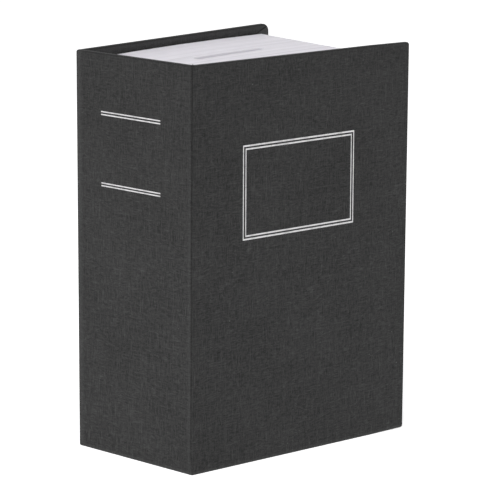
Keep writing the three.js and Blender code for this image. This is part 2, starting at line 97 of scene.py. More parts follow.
# Layout of the cloth's points in mm: from the head and foot to the first row, the stretch
# with a cover's corners, and the rows along the covers and the spine
FOLD_RIM = 4.0
CORNER_RUN = 14.0
COVER_ROWS = (
    0.15, 0.35, 0.6, 0.95, 1.4, 3.0, 9.0, 18.0, 30.0, 42.0, 54.0, COVER_RUN - CORNER_RUN
)
FRONT_SPINE_ROWS = (3.0, 2.0, HINGE)
BACK_SPINE_ROWS = (
    3.0, 10.0, 18.0, 26.0, 34.0, CASE_THICKNESS - HINGE - 1.0, CASE_THICKNESS - HINGE
)
FOLD_STEPS = 5
JOINT_STEPS = 14
CORNER_STEPS = 10
SMALLEST_RADIUS = 0.2
FOOT, HEAD = -1, 1

# Where a joint is hollow, swollen and raised, as shares of the turn from spine to cover
GROOVE_SPAN = (0.06, 0.74)
SWELL_SPAN = (0.05, 0.95)
RISE_SPAN = (-0.4, 1.2)

# The foil in mm: the frame's middle on the cover, half the width and height of its two rules,
# and the heights, reach and middle of the rules on the spine
FRAME_MIDDLE = (38.21, 77.97)
FRAME_TILT = math.radians(0.1)
OUTER_FRAME = (20.34, 13.39)
INNER_FRAME = (19.46, 12.46)
SPINE_RULES = (98.6, 97.79, 78.35, 77.58)
SPINE_RULE_REACH = 11.44
SPINE_MIDDLE = 23.66

# Layers of the cloth: its own mm, the mm of the board under it, and how far round a fold a
# point lies, from 0 on the outer face to ON_INNER_SIDE, which places the painted shade and
# painted highlight of the folds
CLOTH_UV = "cloth_mm"
BOARD_UV = "board_mm"
FOLD_TURN = "fold_wear"
ON_INNER_SIDE = 1.5

# The camera's azimuth, elevation and roll, and its place in mm from the foot of the spine
CAMERA_TURN = tuple(math.radians(degrees) for degrees in (-47.989, 12.284, 0.345))
CAMERA_PLACE = (-538.982, -506.565, 225.455)
SENSOR_WIDTH = 36.0
# Each lamp's name, place and width in metres, and the setting that holds its power
LAMP_TARGET = (0.0, 0.0, 0.06)
LAMPS = (
    ("key", (-1.6, -0.9, 0.3), 1.2, "key_power"),
    ("fill", (0.7, -1.9, 0.5), 1.4, "fill_power"),
    ("top", (-0.75, -0.36, 1.1), 0.7, "top_power"),
    ("rear", (1.3, 1.2, 0.25), 1.2, "rear_power"),
)
FLOOR_SIZE = 6.0
FLOOR_GLOW = 0.6
WHITE = (1.0, 1.0, 1.0)


def millimetres(name, description, default):
    """A length property whose value is in millimetres."""
    text = description + ", in mm"
    return FloatProperty(name=name, description=text, default=default, min=0.0, max=200.0)


def share(name, description, default):
    """A property between none and all."""
    return FloatProperty(
        name=name, description=description, default=default, min=0.0, max=1.0, subtype="FACTOR"
    )


def paint(name, description, default):
    """A colour property."""
    return FloatVectorProperty(
        name=name, description=description, default=default, size=3, min=0.0, max=1.0,
        subtype="COLOR",
    )


def power(name, description, default):
    """A lamp's power."""
    return FloatProperty(name=name, description=description, default=default, unit="POWER")


def placed(x, y, z):
    """A point of the book, in mm from the foot of the spine, as a point of the model."""
    return Vector(((x + BOOK_X) * MM, (y + BOOK_Y) * MM, z * MM))


# Settings


class BookClothSettings(PropertyGroup):
    """Sizes and colours of the book cloth."""

    thickness: millimetres("Cloth", "Thickness of the book cloth", 0.24)
    edge_radius: millimetres("Edge", "Radius of the folded edges", 0.5)
    front_corner: millimetres("Front corners", "Radius of the front cover's corners", 0.8)
    back_corner: millimetres("Back corners", "Radius of the back cover's corners", 2.4)
    corner_sag: millimetres("Corner sag", "Wear of the front cover's corners", 0.17)
    turn_in: millimetres("Turn-in", "Width of the cloth turned in over the boards", 12.0)
    front_groove: millimetres("Front groove", "Depth of the front joint at the head", 0.85)
    front_bulge: millimetres("Front bulge", "Swell of the front joint at the foot", 0.18)
    back_bulge: millimetres("Back bulge", "Swell of the back joint at the head", 0.14)
    lining: millimetres("Joint lining", "Reach of the lining beside the joint", 3.2)
    joint_rise: millimetres("Joint rise", "Rise of the head's fold at the front joint", 0.2)
    seam_rise: millimetres("Seam", "Height under a corner where the turn-ins meet", 0.34)
    seam_width: millimetres("Seam width", "Width of the line between two turn-ins", 0.46)
    seam_angle: FloatProperty(
        name="Seam angle", description="Slope of that line", default=math.radians(21.4),
        subtype="ANGLE",
    )
    slub: share("Slubs", "Strength of the thick threads", 0.34)
    colour: paint("Cloth", "Colour of the cloth", (0.0245, 0.0245, 0.0247))
    light_colour: paint("Raised threads", "Colour of the raised threads", (0.0492, 0.0492, 0.0492))


class FoilSettings(PropertyGroup):
    """Sizes and colours of the stamped foil rules."""

    height: millimetres("Height", "How far the foil stands on the cloth", 0.03)
    outer_line: millimetres("Outer rule", "Width of the frame's outer rule", 0.46)
    inner_line: millimetres("Inner rule", "Width of the frame's inner rule", 0.44)
    upright_share: share("Uprights", "Width of a frame's upright rules as a share", 0.68)
    spine_line: millimetres("Spine rules", "Width of the rules across the spine", 0.35)
    colour: paint("Foil", "Colour of the foil", (0.72, 0.71, 0.72))


class PageSettings(PropertyGroup):
    """Looks of the page block, the papers and the boards."""

    line_pitch: millimetres("Pages", "Pitch of the page lines", 0.55)
    edge: millimetres("Edge", "Width of the softened edges", 0.18)
    board_edge: millimetres("Board edge", "Width of the boards' softened edges", 0.08)
    colour: paint("Pages", "Colour of the moulded pages", (0.768, 0.738, 0.812))
    paper_colour: paint("Papers", "Colour of the endpapers", (0.80, 0.78, 0.73))
    board_colour: paint("Boards", "Colour of the raw boards", (0.28, 0.25, 0.21))


class MetalSettings(PropertyGroup):
    """Looks of the box, the hinge and the lock."""

    edge: millimetres("Edge", "Width of the broken edges", 0.12)
    coat_colour: paint("Coating", "Colour of the powder coat", (0.024, 0.025, 0.027))
    zinc_colour: paint("Zinc", "Colour of the plated steel", (0.62, 0.63, 0.65))
    chrome_colour: paint("Chrome", "Colour of the lock", (0.80, 0.80, 0.81))


class StageSettings(PropertyGroup):
    """Camera, lamps and floor."""

    lens: FloatProperty(name="Lens", description="Focal length", default=199.562, unit="CAMERA")
    floor_colour: paint("Floor", "Colour of the floor and the backdrop", (0.92, 0.92, 0.92))
    key_power: power("Key", "Power of the main lamp", 8.7)
    fill_power: power("Fill", "Power of the second lamp", 1.0)
    top_power: power("Top", "Power of the lamp above", 11.2)
    rear_power: power("Rear", "Power of the lamp behind", 3.0)
    room: FloatProperty(name="Room", description="Strength of the room's light", default=0.35)


# Modelling helpers

MERGE_DISTANCE = 2e-6
LEVEL_DISTANCE = 1e-6
FLAT_ANGLE = math.radians(0.6)
BROKEN_ANGLE = math.radians(38)


def select_only(*objects):
    """Object mode, with only these objects selected and the last one active."""
    if bpy.context.object and bpy.context.object.mode != "OBJECT":
        bpy.ops.object.mode_set(mode="OBJECT")
    bpy.ops.object.select_all(action="DESELECT")
    for piece in objects:
        piece.select_set(True)
        bpy.context.view_layer.objects.active = piece


def apply_place(piece):
    """Puts the object's place into its mesh."""
    select_only(piece)
    bpy.ops.object.transform_apply(location=True, rotation=True, scale=True)


def apply_all_modifiers(piece):
    """Applies each modifier in turn."""
    select_only(piece)
    for modifier in list(piece.modifiers):
        bpy.ops.object.modifier_apply(modifier=modifier.name)


def smooth(piece, degrees=32.0):
    """Smooth faces with sharp edges kept, and wide flat faces left flat."""
    select_only(piece)
    bpy.ops.object.shade_smooth_by_angle(angle=math.radians(degrees))
    weighted = piece.modifiers.new("Flat faces", "WEIGHTED_NORMAL")
    weighted.weight = 100
    weighted.keep_sharp = True
    bpy.ops.object.modifier_apply(modifier=weighted.name)


def dress(piece, material):
    """The piece has this one material."""
    piece.data.materials.clear()
    piece.data.materials.append(material)


def round_fore_corners(piece, radius):
    """Rounds a board's two corners at the fore edge, where its level edges are short."""
    select_only(piece)
    bpy.ops.object.mode_set(mode="EDIT")
    bpy.ops.mesh.select_all(action="DESELECT")
    bpy.ops.object.mode_set(mode="OBJECT")
    mesh = piece.data
    half = max(vertex.co.x for vertex in mesh.vertices) / 2
    for edge in mesh.edges:
        start, end = (mesh.vertices[index].co for index in edge.vertices)
        level = abs(start.z - end.z) < LEVEL_DISTANCE
        edge.select = level and (start - end).length < PANEL * MM and start.x > half
    bpy.ops.object.mode_set(mode="EDIT")
    bpy.ops.mesh.select_mode(type="EDGE")
    bpy.ops.mesh.bevel(offset=radius * MM, segments=8, affect="EDGES")
    bpy.ops.object.mode_set(mode="OBJECT")


def refined(node, name, edge, material, corner=0.0):
    """A copy of a solid with its doubles merged and its edges broken, which takes its place."""
    select_only(frame["nodes"][node])
    bpy.ops.object.duplicate()
    piece = bpy.context.object
    piece.name = name
    piece.data.name = name
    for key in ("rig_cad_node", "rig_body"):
        if key in piece:
            del piece[key]
    piece.parent = None
    piece.matrix_world = Matrix.Identity(4)
    bpy.ops.object.mode_set(mode="EDIT")
    bpy.ops.mesh.select_all(action="SELECT")
    bpy.ops.mesh.remove_doubles(threshold=MERGE_DISTANCE)
    bpy.ops.mesh.dissolve_limited(angle_limit=FLAT_ANGLE)
    bpy.ops.object.mode_set(mode="OBJECT")
    if corner:
        round_fore_corners(piece, corner)
    bevel = piece.modifiers.new("Broken edges", "BEVEL")
    bevel.width = edge * MM
    bevel.segments = 2
    bevel.limit_method = "ANGLE"
    bevel.angle_limit = BROKEN_ANGLE
    bevel.use_clamp_overlap = True
    apply_all_modifiers(piece)
    smooth(piece)
    dress(piece, material)
    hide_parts(node)
    return piece


def ride(piece, body):
    """The piece moves with a body."""
    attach(piece, body)


def refine_all(edge, *rows):
    """Finishes solids, each given as a node, a name, a finish, a body and a slot."""
    for node, name, look, body, slot in rows:
        ride(refined(node, name, edge, finish(look)), body)


# Material helpers


class Nodes:
    """A small writer of shader nodes for one material."""

    def __init__(self, name):
        self.material = bpy.data.materials.new(name)
        self.material.use_nodes = True
        self.tree = self.material.node_tree
        self.shader = self.tree.nodes["Principled BSDF"]

    def add(self, kind, **settings):
        """A node with some of its settings."""
        made = self.tree.nodes.new(kind)
        for key, value in settings.items():
            setattr(made, key, value)
        return made

    def give(self, value, socket):
        """Joins an output to a socket, or sets the socket to a number or a colour."""
        if hasattr(value, "is_output"):
            self.tree.links.new(value, socket)
        elif socket.type == "RGBA":
            socket.default_value = (*value, 1.0)
        else:
            socket.default_value = value

    def set(self, **values):
        """Values straight on the shader's sockets."""
        for key, value in values.items():
            self.give(value, self.shader.inputs[key.replace("_", " ")])

    def place(self, fineness, uv=None):
        """Object coordinates in metres, or a UV map in mm, times one fineness or one each way."""
        if uv:
            source = self.add("ShaderNodeUVMap", uv_map=uv).outputs["UV"]
        else:
            source = self.add("ShaderNodeTexCoord").outputs["Object"]
        mapping = self.add("ShaderNodeMapping")
        each_way = fineness if isinstance(fineness, tuple) else (fineness,) * 3
        self.give(each_way, mapping.inputs["Scale"])
        self.give(source, mapping.inputs["Vector"])
        return mapping.outputs["Vector"]

    def across_and_up(self, uv):
        """The two parts of a UV map."""
        parts = self.add("ShaderNodeSeparateXYZ")
        self.give(self.add("ShaderNodeUVMap", uv_map=uv).outputs["UV"], parts.inputs[0])
        return parts.outputs["X"], parts.outputs["Y"]

    def noise(self, fineness, detail=2.0, roughness=0.5, distortion=0.0, uv=None):
        """Noise between 0 and 1."""
        made = self.add("ShaderNodeTexNoise")
        for key, value in (
            ("Scale", 1.0), ("Detail", detail), ("Roughness", roughness),
            ("Distortion", distortion), ("Vector", self.place(fineness, uv)),
        ):
            self.give(value, made.inputs[key])
        return made.outputs["Fac"]

    def spots(self, fineness, uv=None):
        """Distance to the nearest of many scattered points."""
        made = self.add("ShaderNodeTexVoronoi")
        self.give(1.0, made.inputs["Scale"])
        self.give(self.place(fineness, uv), made.inputs["Vector"])
        return made.outputs["Distance"]

    def range(self, value, low, high, to_low=0.0, to_high=1.0):
        """Maps a span of a value onto another span, held at its ends."""
        made = self.add("ShaderNodeMapRange")
        for key, number in (
            ("From Min", low), ("From Max", high), ("To Min", to_low), ("To Max", to_high),
            ("Value", value),
        ):
            self.give(number, made.inputs[key])
        return made.outputs["Result"]

    def combine(self, operation, *values):
        """Arithmetic of values in turn, each an output or a number."""
        total = values[0]
        for value in values[1:]:
            made = self.add("ShaderNodeMath", operation=operation)
            self.give(total, made.inputs[0])
            self.give(value, made.inputs[1])
            total = made.outputs["Value"]
        return total

    def plus(self, *values):
        """The sum of values."""
        return self.combine("ADD", *values)

    def times(self, *values):
        """The product of values."""
        return self.combine("MULTIPLY", *values)

    def less(self, first, second):
        """The first value less the second."""
        return self.combine("SUBTRACT", first, second)

    def most(self, *values):
        """The highest of values."""
        return self.combine("MAXIMUM", *values)

    def apart(self, first, second):
        """How far one value is from another."""
        return self.combine("ABSOLUTE", self.less(first, second), 0.0)

    def mix(self, factor, first, second, kind="RGBA"):
        """A colour between two, each an output or a colour, or the same for FLOAT values."""
        made = self.add("ShaderNodeMix", data_type=kind)
        found = "VALUE" if kind == "FLOAT" else kind
        self.give(factor, made.inputs["Factor"])
        for key, value in (("A", first), ("B", second)):
            self.give(value, next(s for s in made.inputs if s.name == key and s.type == found))
        return next(s for s in made.outputs if s.type == found)

    def colour(self, output):
        """Joins a colour to the shader."""
        self.give(output, self.shader.inputs["Base Color"])

    def rough(self, output):
        """Joins a roughness to the shader."""
        self.give(output, self.shader.inputs["Roughness"])

    def bump(self, height, distance, strength=1.0):
        """Relief from a height between 0 and 1, of a depth in mm."""
        made = self.add("ShaderNodeBump")
        self.give(distance * MM, made.inputs["Distance"])
        self.give(strength, made.inputs["Strength"])
        self.give(height, made.inputs["Height"])
        self.give(made.outputs["Normal"], self.shader.inputs["Normal"])


def finish(make):
    """The material that a function makes, made the first time it is asked for."""
    found = bpy.data.materials.get(make.__name__)
    if found:
        return found
    nodes = Nodes(make.__name__)
    make(nodes)
    return nodes.material


def shade(colour, factor):
    """A lighter or darker colour."""
    return tuple(min(1.0, part * factor) for part in colour)


# Finishes


def dark_linen(nodes):
    """Dark linen book cloth: fine threads, short slubs both ways, a few pale specks, painted shade
    on the folds and towards the head, and painted highlight with some rubbing along the edges.
    """
    cloth = bpy.context.scene.book_cloth
    height, grain, tone = linen_weave(nodes, cloth.slub)
    woven = nodes.mix(tone, shade(cloth.colour, 0.45), shade(cloth.light_colour, 1.1))
    flecked = nodes.mix(linen_specks(nodes), woven, shade(cloth.light_colour, 2.2))
    wear = nodes.add("ShaderNodeAttribute", attribute_name=FOLD_TURN).outputs["Fac"]
    from_edge, up = nodes.across_and_up(BOARD_UV)
    # The cloth darkened by painted shade on its folds and towards the head
    painted_shade = nodes.mix(fold_shade(nodes, wear, from_edge, up), flecked, shade(cloth.colour, 0.3))
    # Painted highlight, partly rubbing, along the start of the rounded edges, kept off the head
    rub_and_highlight = nodes.times(
        nodes.range(wear, 0.02, 0.16),
        nodes.range(wear, 0.2, 0.5, 1.0, 0.0),
        nodes.range(up, CASE_HEIGHT - 4.0, CASE_HEIGHT - 1.0, 1.0, 0.0),
        nodes.range(grain, 0.42, 0.62, 0.1, 0.45),
    )
    # The painted highlight and rubbing laid on the cloth
    worn = nodes.mix(
        nodes.most(rub_and_highlight, edge_rub(nodes)), painted_shade, shade(cloth.light_colour, 1.6)
    )
    flap, seam, lit_ends = turn_in_seam(nodes, wear, from_edge, up)
    # Painted highlight on the upper turn-in and painted light at the inner side's ends
    painted_highlight = nodes.most(nodes.times(flap, 0.75), nodes.times(lit_ends, 0.4))
    turned_in = nodes.mix(painted_highlight, worn, shade(cloth.light_colour, 1.2))
    nodes.colour(nodes.mix(nodes.times(seam, 0.95), turned_in, shade(cloth.colour, 0.2)))
    nodes.rough(nodes.range(height, 0.2, 1.3, 0.95, 0.74))
    nodes.set(Sheen_Weight=0.06, Sheen_Roughness=0.5, Specular_IOR_Level=0.3)
    nodes.bump(nodes.plus(height, nodes.times(flap, 1.4)), 0.12)


def linen_noise(nodes, across, up, detail, roughness=0.5):
    """Noise on the cloth, of a fineness across and up the cover."""
    return nodes.noise((across, up, 1.0), detail, roughness, uv=CLOTH_UV)


def linen_weave(nodes, slub):
    """The weave's height, its fine grain and its tone.

    Fine and long threads run up and across, with thin wavy ones between.
    """
    upright = linen_noise(nodes, 3.0, 0.55, 2.0, 0.6)
    level = linen_noise(nodes, 0.6, 3.2, 2.0, 0.6)
    long_upright = linen_noise(nodes, 2.0, 0.12, 2.0, 0.55)
    long_level = linen_noise(nodes, 0.13, 2.1, 2.0, 0.55)
    wavy_upright = linen_noise(nodes, 1.7, 0.14, 1.5)
    wavy_level = linen_noise(nodes, 0.30, 1.25, 1.5)
    mottle = linen_noise(nodes, 0.62, 1.25, 1.0, 0.4)
    patches = nodes.range(linen_noise(nodes, 0.12, 0.12, 2.0, 0.6), 0.42, 0.58)
    grain = linen_noise(nodes, 2.1, 2.1, 3.0, 0.75)
    cloud = linen_noise(nodes, 0.35, 0.35, 3.0, 0.6)
    broad = linen_noise(nodes, 0.045, 0.045, 1.0)
    wavy = nodes.plus(
        nodes.times(ridge(nodes, wavy_level), nodes.range(cloud, 0.42, 0.6)),
        nodes.times(ridge(nodes, wavy_upright), nodes.range(cloud, 0.58, 0.4)),
    )
    long = nodes.range(nodes.most(long_upright, long_level), 0.58, 0.76)
    threads = nodes.range(nodes.mix(patches, upright, level, "FLOAT"), 0.28, 0.72)
    height = nodes.plus(
        nodes.times(threads, 0.42),
        nodes.plus(
            nodes.times(nodes.plus(long, wavy), slub),
            nodes.times(nodes.range(grain, 0.25, 0.75), 0.45),
        ),
    )
    clouds = (
        nodes.times(nodes.range(cause, 0.3, 0.7), strength)
        for cause, strength in ((cloud, 0.15), (mottle, 0.25), (broad, 0.15))
    )
    return height, grain, nodes.range(nodes.plus(height, *clouds), 0.45, 1.45)


def ridge(nodes, value):
    """Thin wavy lines along the middle of a noise."""
    return nodes.range(nodes.apart(value, 0.5), 0.01, 0.045, 1.0, 0.0)


def linen_specks(nodes):
    """A few scattered pale specks."""
    specks = nodes.range(nodes.spots(0.3, CLOTH_UV), 0.03, 0.08, 1.0, 0.0)
    return nodes.times(specks, nodes.range(linen_noise(nodes, 0.33, 0.33, 1.0), 0.60, 0.64))


def fold_shade(nodes, wear, from_edge, up):
    """How much painted shade darkens the cloth along the head's fold, round the other folds and
    towards the head.
    """
    # Painted shade along the head's fold
    head = nodes.range(up, CASE_HEIGHT - 0.55, CASE_HEIGHT - 0.2, 0.0, 0.92)
    # Painted shade, darker towards the head
    painted_upper_shade = nodes.range(up, CASE_HEIGHT * 0.5, CASE_HEIGHT * 0.95, 0.0, 0.15)
    # Painted shade round the fold faces, weaker at the fore edge and on the inner side
    fore = nodes.range(from_edge, 0.6, 1.4, 0.25, 0.8)
    painted_shade = nodes.times(nodes.range(wear, 0.5, 0.95), fore)
    inner = nodes.range(wear, ON_INNER_SIDE - 0.1, ON_INNER_SIDE, 1.0, 0.3)
    return nodes.most(head, painted_upper_shade, nodes.times(painted_shade, inner))


def edge_rub(nodes):
    """Painted highlight, partly rubbing: the cloth a little paler along the spine's two edges and
    along the foot.
    """
    run, up = nodes.across_and_up(CLOTH_UV)
    front_edge_run, back_edge_run = 1.75, 4.2 - CASE_THICKNESS
    front_edge = nodes.times(
        nodes.range(nodes.apart(run, front_edge_run), 0.3, 1.0, 0.15, 0.0),
        nodes.range(up, CASE_HEIGHT, CASE_HEIGHT * 0.55, 0.1, 1.0),
    )
    back_edge = nodes.range(nodes.apart(run, back_edge_run), 0.4, 1.6, 0.25, 0.0)
    foot = nodes.times(nodes.range(up, 1.3, 0.3, 0.0, 0.35), nodes.range(up, -0.6, -0.3))
    return nodes.most(front_edge, back_edge, foot)


def turn_in_seam(nodes, wear, from_edge, up):
    """The upper turn-in, which gets a painted highlight, the open line at its edge, and the ends of
    the inner side, which get painted light.
    """
    cloth = bpy.context.scene.book_cloth
    half = CASE_HEIGHT / 2
    off_middle = nodes.apart(up, half)
    inner = nodes.range(wear, 1.15, 1.4)
    near = nodes.range(from_edge, cloth.turn_in - 0.1, cloth.turn_in, 1.0, 0.0)
    corner = nodes.times(inner, near)
    below = nodes.less(
        nodes.times(nodes.less(half - cloth.seam_rise, off_middle), math.cos(cloth.seam_angle)),
        nodes.times(from_edge, math.sin(cloth.seam_angle)),
    )
    flap = nodes.times(nodes.range(below, 0.05, 0.2), corner)
    off_line = nodes.apart(below, 0.0)
    width = cloth.seam_width
    seam = nodes.times(nodes.range(off_line, width * 0.35, width * 0.75, 1.0, 0.0), corner)
    # Painted light on the inner side towards the head and the foot
    lit_ends = nodes.times(nodes.range(off_middle, half - 2.3, half - 1.1), inner)
    return flap, seam, lit_ends


def stamped_foil(nodes):
    """Stamped pale foil that breaks up a little over the weave."""
    foil_colour = bpy.context.scene.book_foil.colour
    cloth = bpy.context.scene.book_cloth
    worn = nodes.range(nodes.noise(3200, 3.0, 0.6), 0.60, 0.72)
    faint = nodes.range(nodes.noise(400, 2.0, 0.6), 0.45, 0.65, 0.0, 0.5)
    foil = nodes.mix(faint, foil_colour, shade(foil_colour, 0.55))
    nodes.colour(nodes.mix(worn, foil, shade(cloth.light_colour, 4.0)))
    nodes.rough(nodes.range(nodes.noise(1100), 0.3, 0.7, 0.36, 0.5))
    nodes.set(Metallic=0.25)
    nodes.bump(nodes.noise(2400), 0.04, 0.6)


def moulded_pages(nodes):
    """Matte moulding with fine lines that run as a page block's leaves do."""
    settings = bpy.context.scene.book_pages
    pitch = 1.0 / (settings.line_pitch * MM)
    leaves = nodes.noise((8, pitch, 8), 3.0, 0.7)
    bundles = nodes.noise((5, pitch * 0.22, 5), 2.0, 0.55)
    single = nodes.range(nodes.noise((6, pitch * 0.7, 6), 0.0), 0.66, 0.74)
    mottle = nodes.noise(330, 3.0)
    lines = nodes.plus(nodes.times(leaves, 0.6), nodes.times(bundles, 0.4))
    tone = nodes.range(nodes.plus(lines, nodes.times(mottle, 0.18)), 0.42, 0.76)
    plain = nodes.mix(tone, shade(settings.colour, 0.85), shade(settings.colour, 1.01))
    nodes.colour(nodes.mix(nodes.times(single, 0.6), plain, shade(settings.colour, 0.74)))
    nodes.rough(nodes.range(leaves, 0.3, 0.7, 0.66, 0.52))
    nodes.set(
        Specular_IOR_Level=0.4, Subsurface_Weight=0.9, Subsurface_Scale=4.2 * MM,
        Subsurface_Radius=(1.0, 1.0, 1.0),
    )
    nodes.bump(nodes.less(lines, nodes.times(single, 0.4)), 0.06, 0.6)


def endpaper_stock(nodes):
    """Uncoated paper with a faint fibre."""
    colour = bpy.context.scene.book_pages.paper_colour
    fibre = nodes.noise(1500, 4.0, 0.7, 0.6)
    cloud = nodes.noise(60)
    tone = nodes.plus(nodes.times(fibre, 0.5), nodes.times(cloud, 0.5))
    nodes.colour(nodes.mix(tone, shade(colour, 0.93), colour))
    nodes.rough(nodes.range(fibre, 0.2, 0.8, 0.95, 0.82))
    nodes.set(Specular_IOR_Level=0.25)
    nodes.bump(fibre, 0.02, 0.6)


def pulp_board(nodes):
    """Grey pulp board with specks of fibre."""
    colour = bpy.context.scene.book_pages.board_colour
    pulp = nodes.noise(900, 5.0, 0.75)
    layers = nodes.noise((70, 2600, 70))
    tone = nodes.plus(nodes.times(pulp, 0.7), nodes.times(layers, 0.3))
    nodes.colour(nodes.mix(tone, shade(colour, 0.7), shade(colour, 1.3)))
    nodes.rough(nodes.range(pulp, 0.2, 0.8, 0.98, 0.86))
    nodes.bump(pulp, 0.06, 0.7)


def powder_coat(nodes):
    """Dark powder coat with its orange-peel surface."""
    colour = bpy.context.scene.book_metal.coat_colour
    peel = nodes.noise(1700)
    cloud = nodes.noise(90, 3.0)
    nodes.colour(nodes.mix(cloud, shade(colour, 0.8), shade(colour, 1.35)))
    nodes.rough(nodes.range(cloud, 0.25, 0.75, 0.34, 0.5))
    nodes.set(Specular_IOR_Level=0.5)
    nodes.bump(peel, 0.035, 0.7)


def zinc_plate(nodes):
    """Bright zinc plating with a drawn grain and a faint bloom."""
    colour = bpy.context.scene.book_metal.zinc_colour
    grain = nodes.noise((3200, 3200, 160), 3.0, 0.6)
    bloom = nodes.noise(220, 3.0, 0.6)
    dull = nodes.plus(nodes.times(grain, 0.5), nodes.times(bloom, 0.5))
    nodes.colour(nodes.mix(bloom, shade(colour, 0.82), colour))
    nodes.rough(nodes.range(dull, 0.3, 0.7, 0.26, 0.44))
    nodes.set(Metallic=1.0)
    nodes.bump(grain, 0.008, 0.5)


def lock_plate(nodes):
    """Polished plating with faint wipe marks."""
    colour = bpy.context.scene.book_metal.chrome_colour
    wipe = nodes.noise((140, 700, 140), 3.0, 0.6, 0.8)
    nodes.colour(nodes.mix(wipe, shade(colour, 0.93), colour))
    nodes.rough(nodes.range(wipe, 0.3, 0.75, 0.07, 0.17))
    nodes.set(Metallic=1.0)
    nodes.bump(wipe, 0.004, 0.3)


# Book cloth


class Line:
    """A straight stretch of the case in plan: its start, direction and outward normal."""

    def __init__(self, x, y, turn, outward):
        self.start = Vector((x, y))
        self.along = Vector((math.cos(turn), math.sin(turn)))
        self.normal = Vector(outward)

    def at(self, distance, depth=0.0):
        """The point at a distance along the line and a depth under the outer face."""
        return self.start + self.along * distance + self.normal * (HINGE - depth)


class Station:
    """One cross line of the case, with its points in plan and its run along the cloth.

    The points are the outer one at the head, the inner one, and the outer one at the foot.
    """

    def __init__(self, outer, inner, foot=None, rise=0.0):
        self.outer = Vector(outer)
        self.inner = Vector(inner)
        self.foot = Vector(outer if foot is None else foot)
        self.rise = rise
        self.run = 0.0
        self.lined = False


def fold(settings):
    """The section of a folded edge: (inset from the edge, depth under the face, run of cloth)."""
    radius = settings.edge_radius
    quarter = [math.pi / 2 * step / FOLD_STEPS for step in range(FOLD_STEPS + 1)]
    rounded = [(radius * (1 - math.sin(turn)), radius * (1 - math.cos(turn))) for turn in quarter]
    points = [
        (FOLD_RIM, 0.0), *rounded,
        *((inset, PANEL - depth) for inset, depth in reversed(rounded)),
        (settings.turn_in, PANEL),
    ]
    run = [0.0]
    for before, after in zip(points, points[1:]):
        run.append(run[-1] + math.dist(before, after))
    return [(inset, depth, travelled) for (inset, depth), travelled in zip(points, run)]


def hill(value, low, high):
    """A smooth hill of height 1 between low and high."""
    if not low < value < high:
        return 0.0
    return math.sin((value - low) / (high - low) * math.pi) ** 2


def meeting(first, first_way, second, second_way):
    """Where two lines in plan meet."""
    across = first_way.x * second_way.y - first_way.y * second_way.x
    gap = second - first
    return first + first_way * ((gap.x * second_way.y - gap.y * second_way.x) / across)


def stations_of(spine_rows, axis, line, lining, groove, rise=0.0, swell=0.0):
    """Stations from a point on the spine, round one joint and along a cover to its corners.

    The joint has a groove and a rise at the head, and a swell at the foot.
    """
    axis = Vector(axis)
    corner = meeting(
        Vector((PANEL, axis.y)), Vector((0.0, 1.0)), line.at(0.0, PANEL), line.along
    )
    within = max if spine_rows[0] > spine_rows[-1] else min
    made = [Station((0.0, y), (PANEL, within(y, corner.y))) for y in spine_rows]
    start = math.pi
    end = math.atan2(line.normal.y, line.normal.x) % (2 * math.pi)
    for step in range(1, JOINT_STEPS + 1):
        part = step / JOINT_STEPS
        turn = start + (end - start) * part
        normal = Vector((math.cos(turn), math.sin(turn)))
        outer = axis + normal * (HINGE - groove * hill(part, *GROOVE_SPAN))
        foot = axis + normal * (HINGE + swell * hill(part, *SWELL_SPAN))
        made.append(Station(outer, corner, foot, rise * hill(part, *RISE_SPAN)))
    corner_run = (corner - line.at(0.0, PANEL)).dot(line.along)
    for distance in COVER_ROWS:
        inner = line.at(max(distance, corner_run), PANEL)
        made.append(Station(line.at(distance), inner))
    for before, after in zip(made, made[1:]):
        after.run = before.run + (after.outer - before.outer).length
    for station in made:
        station.lined = (station.inner - corner).length < lining
    return made


